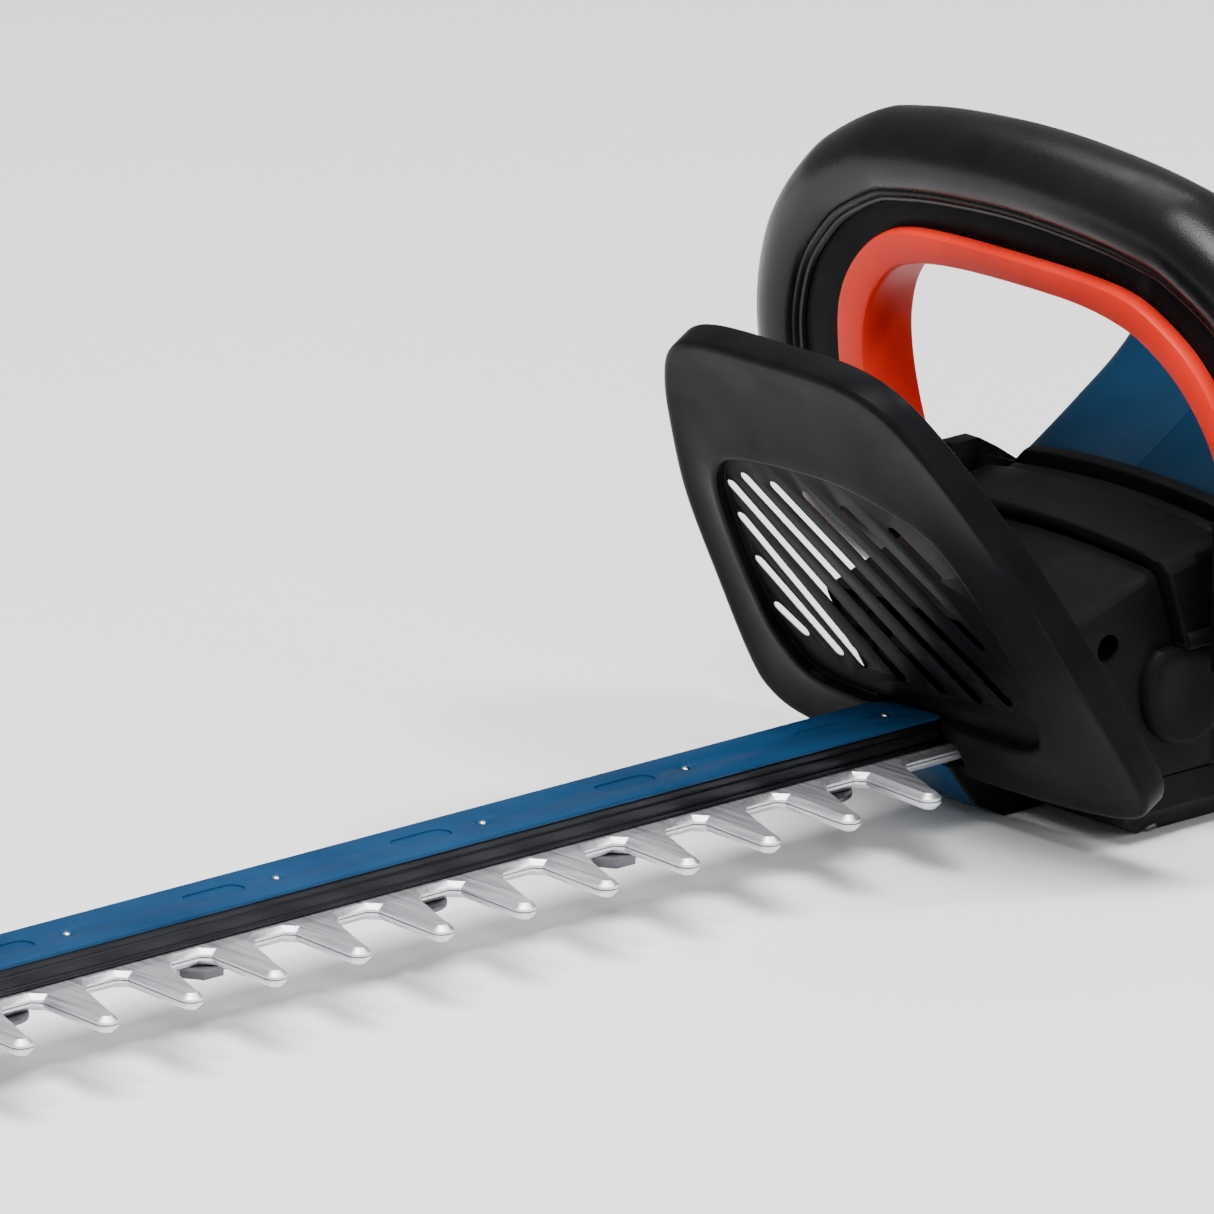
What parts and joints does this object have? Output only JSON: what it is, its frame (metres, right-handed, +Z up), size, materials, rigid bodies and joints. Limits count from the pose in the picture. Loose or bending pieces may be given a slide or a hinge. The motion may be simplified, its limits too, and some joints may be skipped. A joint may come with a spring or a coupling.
{
  "type": "hedge trimmer",
  "caption": "Cordless hedge trimmer with a long toothed blade on one side, hand guard, bale handle with switch bar, rear D-handle with trigger and slide-on battery.",
  "frame": {"origin": "middle of the bounding box, on the ground plane under the belly and the battery", "axes": "+X along the blade towards the rear handle, -X towards the blade tip, toothed edge on -Y, +Z up"},
  "size_m": [1.01, 0.2408, 0.1974],
  "materials": {
    "rail_black": "satin black anodised aluminium extrusion",
    "cover_blue": "satin blue painted pressed steel",
    "bright_screw": "zinc plated",
    "blade_steel": "ground blade steel",
    "dark_steel": "black oxide",
    "case_black": "fine textured glass filled nylon",
    "guard_black": "satin moulded nylon",
    "soft_black": "soft thermoplastic elastomer",
    "housing_blue": "satin moulded nylon",
    "switch_red": "satin moulded acetal",
    "gear_steel": "machined steel",
    "cast_metal": "die cast",
    "copper_wire": "enamelled copper windings",
    "switch_black": "plain moulded",
    "spring_steel": "spring wire",
    "contact_brass": "tinned contacts",
    "cell_wrap": "heat shrink sleeve",
    "board_green": "solder mask"
  },
  "bodies": {
    "chassis": {"blade_rail": "rail_black", "rail_cover": "cover_blue", "cover_rivets": "bright_screw", "blade_bolts": "dark_steel", "bolt_washers": "dark_steel", "tip_guard": "case_black", "tip_guard_screws": "bright_screw", "gear_bearing": "gear_steel", "motor_stator": "copper_wire", "motor_can": "cast_metal", "motor_bearings": "gear_steel", "gearbox_plate": "cast_metal", "gearbox_plate_screws": "bright_screw", "rail_clamp": "cast_metal", "gear_housing": "case_black", "gear_housing_screws": "bright_screw", "shoulder_band": "case_black", "collar": "case_black", "belly_cover": "case_black", "belly_strap": "cover_blue", "belly_screws": "dark_steel", "hand_guard": "guard_black", "guard_screws": "dark_steel", "bale_handle_frame": "case_black", "bale_handle_grip": "soft_black", "switch_bar_springs": "spring_steel", "bale_microswitch": "switch_black", "bale_handle_screws": "dark_steel", "housing_left": "housing_blue", "housing_right": "housing_blue", "handle_left": "housing_blue", "handle_right": "housing_blue", "housing_screws": "bright_screw", "vent_grilles": "case_black", "rear_grip": "soft_black", "trigger_pin": "gear_steel", "trigger_spring": "spring_steel", "trigger_switch": "switch_black", "lock_off_spring": "spring_steel", "battery_dock": "case_black", "dock_terminals": "contact_brass", "controller_board": "board_green", "wiring": "soft_black"},
    "upper_blade_body": {"upper_blade": "blade_steel"},
    "lower_blade_body": {"lower_blade": "blade_steel"},
    "crank_body": {"drive_gear": "gear_steel", "crank_pins": "gear_steel", "gear_axle": "gear_steel"},
    "rotor_body": {"pinion": "gear_steel", "motor_shaft": "gear_steel", "motor_rotor": "dark_steel", "motor_fan": "switch_black"},
    "switch_bar_body": {"bale_switch_bar": "switch_red"},
    "trigger_body": {"trigger": "switch_red"},
    "lock_button_body": {"lock_off_button": "switch_red"},
    "battery_body": {"battery_case": "case_black", "battery_lid": "case_black", "battery_cells": "cell_wrap", "latch_spring": "spring_steel"},
    "latch_body": {"battery_latch": "switch_red"}
  },
  "joints": [
    {"name": "upper_blade_slide", "type": "slide", "parent": "chassis", "child": "upper_blade_body", "axis": [1, 0, 0], "range_m": [-0.0075, 0.0075]},
    {"name": "lower_blade_slide", "type": "slide", "parent": "chassis", "child": "lower_blade_body", "axis": [1, 0, 0], "range_m": [-0.0075, 0.0075]},
    {"name": "crank_spin", "type": "hinge", "parent": "chassis", "child": "crank_body", "pos_m": [0.125, 0.0128, 0.031], "axis": [0, 0, 1], "continuous": true},
    {"name": "motor_spin", "type": "hinge", "parent": "chassis", "child": "rotor_body", "pos_m": [0.15823, 0.0128, 0.031], "axis": [0, 0, 1], "continuous": true},
    {"name": "bale_switch_press", "type": "slide", "parent": "chassis", "child": "switch_bar_body", "axis": [-0.1564, 0, 0.9877], "range_m": [0, 0.004], "stiffness_N_per_m": 900, "deforming": ["switch_bar_springs"]},
    {"name": "trigger_pull", "type": "hinge", "parent": "chassis", "child": "trigger_body", "pos_m": [0.325, 0, 0.155], "axis": [0, -1, 0], "range_deg": [0, 10], "stiffness_Nm_per_rad": 0.6, "deforming": ["trigger_spring"]},
    {"name": "lock_off_press", "type": "slide", "parent": "chassis", "child": "lock_button_body", "axis": [0, 0, -1], "range_m": [0, 0.003], "stiffness_N_per_m": 500, "deforming": ["lock_off_spring"]},
    {"name": "battery_slide", "type": "slide", "parent": "chassis", "child": "battery_body", "axis": [1, 0, 0], "range_m": [0, 0.1]},
    {"name": "latch_press", "type": "slide", "parent": "battery_body", "child": "latch_body", "axis": [0, 0, -1], "range_m": [0, 0.003], "stiffness_N_per_m": 900, "deforming": ["latch_spring"]}
  ],
  "couplings": [
    {"joint": "lower_blade_slide", "follows": "upper_blade_slide", "ratio": -1},
    {"joint": "motor_spin", "follows": "crank_spin", "ratio": -4.8889}
  ]
}
